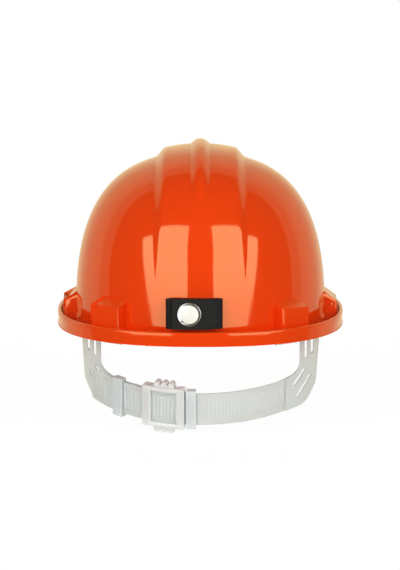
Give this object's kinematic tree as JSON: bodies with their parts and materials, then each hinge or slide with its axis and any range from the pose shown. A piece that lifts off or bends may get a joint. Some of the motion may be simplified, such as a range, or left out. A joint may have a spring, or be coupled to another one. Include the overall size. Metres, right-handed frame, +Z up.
{
  "type": "miner helmet",
  "caption": "Hard safety helmet with a raised crown panel and ridge, lamp bracket, snap-shut cord holder and ratchet nape strap suspension.",
  "frame": {"origin": "on the head's upright axis, level with the underside of the brim at the sides", "axes": "+Y to the peak at the wearer's front, +Z up through the crown, +X to the wearer's right"},
  "size_m": [0.233, 0.2861, 0.2269],
  "materials": {
    "shell_plastic": "glossy moulded orange",
    "holder_leather": "smooth black",
    "snap_metal": "plated",
    "bracket_plastic": "moulded black",
    "rivet_metal": "satin",
    "suspension_plastic": "milky, slightly translucent",
    "band_plastic": "soft sheet",
    "webbing": "woven",
    "pad": "padded sweatband"
  },
  "bodies": {
    "shell": {"shell": "shell_plastic", "lamp_bracket": "bracket_plastic", "bracket_backing_plate": "rivet_metal", "bracket_rivets": "rivet_metal", "cord_strap": "holder_leather", "snap_stud": "snap_metal", "cord_strap_rivet": "rivet_metal", "cord_strap_washer": "rivet_metal"},
    "cord_flap": {"cord_flap": "holder_leather", "snap_cap": "snap_metal", "snap_socket": "snap_metal"},
    "suspension": {"hanger_key_front_left": "suspension_plastic", "hanger_key_front_right": "suspension_plastic", "hanger_key_rear_left": "suspension_plastic", "hanger_key_rear_right": "suspension_plastic", "headband": "band_plastic", "brow_pad": "pad", "headband_studs": "suspension_plastic", "crown_strap_lower": "webbing", "crown_strap_upper": "webbing", "crown_rivet": "suspension_plastic", "nape_arm_left": "suspension_plastic", "nape_arm_right": "suspension_plastic", "adjuster_buckle": "suspension_plastic", "nape_studs": "suspension_plastic"},
    "nape_tongue": {"nape_tongue": "suspension_plastic"},
    "locking_pawl": {"locking_pawl": "suspension_plastic"}
  },
  "joints": [
    {"name": "cord_flap_fold", "type": "hinge", "parent": "shell", "child": "cord_flap", "pos_m": [-0.02237, -0.12856, 0.02614], "axis": [0, -0.0628, -0.998], "range_deg": [0, 110]},
    {"name": "suspension_pull", "type": "slide", "parent": "shell", "child": "suspension", "axis": [0, 0, -1], "range_m": [0, 0.06]},
    {"name": "nape_adjust", "type": "hinge", "parent": "suspension", "child": "nape_tongue", "pos_m": [0, 0.005, -0.0323], "axis": [0, 0.2588, -0.9659], "range_deg": [-8, 10], "deforming": ["nape_arm_right"]},
    {"name": "pawl_release", "type": "slide", "parent": "suspension", "child": "locking_pawl", "axis": [0.2957, 0.9227, 0.2472], "range_m": [0, 0.0015], "stiffness_N_per_m": 2000, "springref_m": -0.0005}
  ]
}
